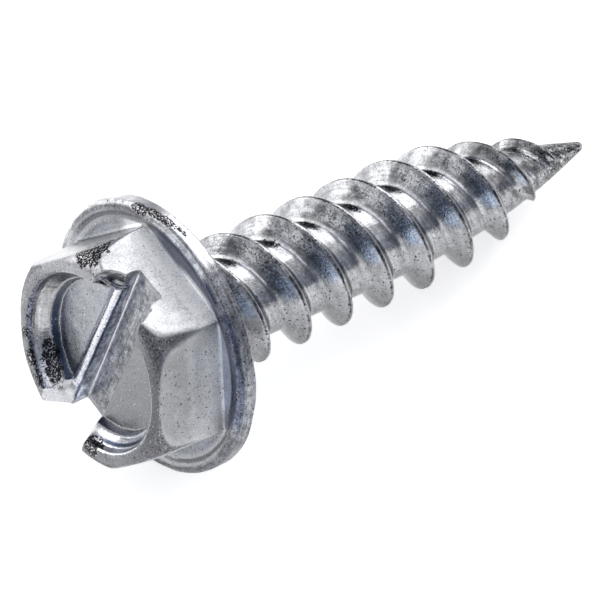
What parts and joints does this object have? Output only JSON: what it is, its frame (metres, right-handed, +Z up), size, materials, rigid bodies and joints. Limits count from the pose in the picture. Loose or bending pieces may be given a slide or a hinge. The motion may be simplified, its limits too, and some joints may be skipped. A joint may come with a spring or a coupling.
{
  "type": "slotted hex washer head screw",
  "caption": "Slotted hex washer head screw with a dished recess in the head, a torn drive slot, a coarse thread up to the washer and a gimlet point.",
  "frame": {"origin": "centre of the washer's bearing face, on the screw's axis", "axes": "+X runs from the head towards the tip, along the ground; +Z is up as the screw lies on its washer rim and a thread crest; the screw's axis points to +X and 12.5306 degrees down"},
  "size_m": [0.0227, 0.0102, 0.0101],
  "materials": {
    "zinc_plate": "bright zinc plate over cold-formed steel, with fine grain, pits and small marks"
  },
  "bodies": {
    "root": {"screw": "zinc_plate"}
  },
  "joints": []
}
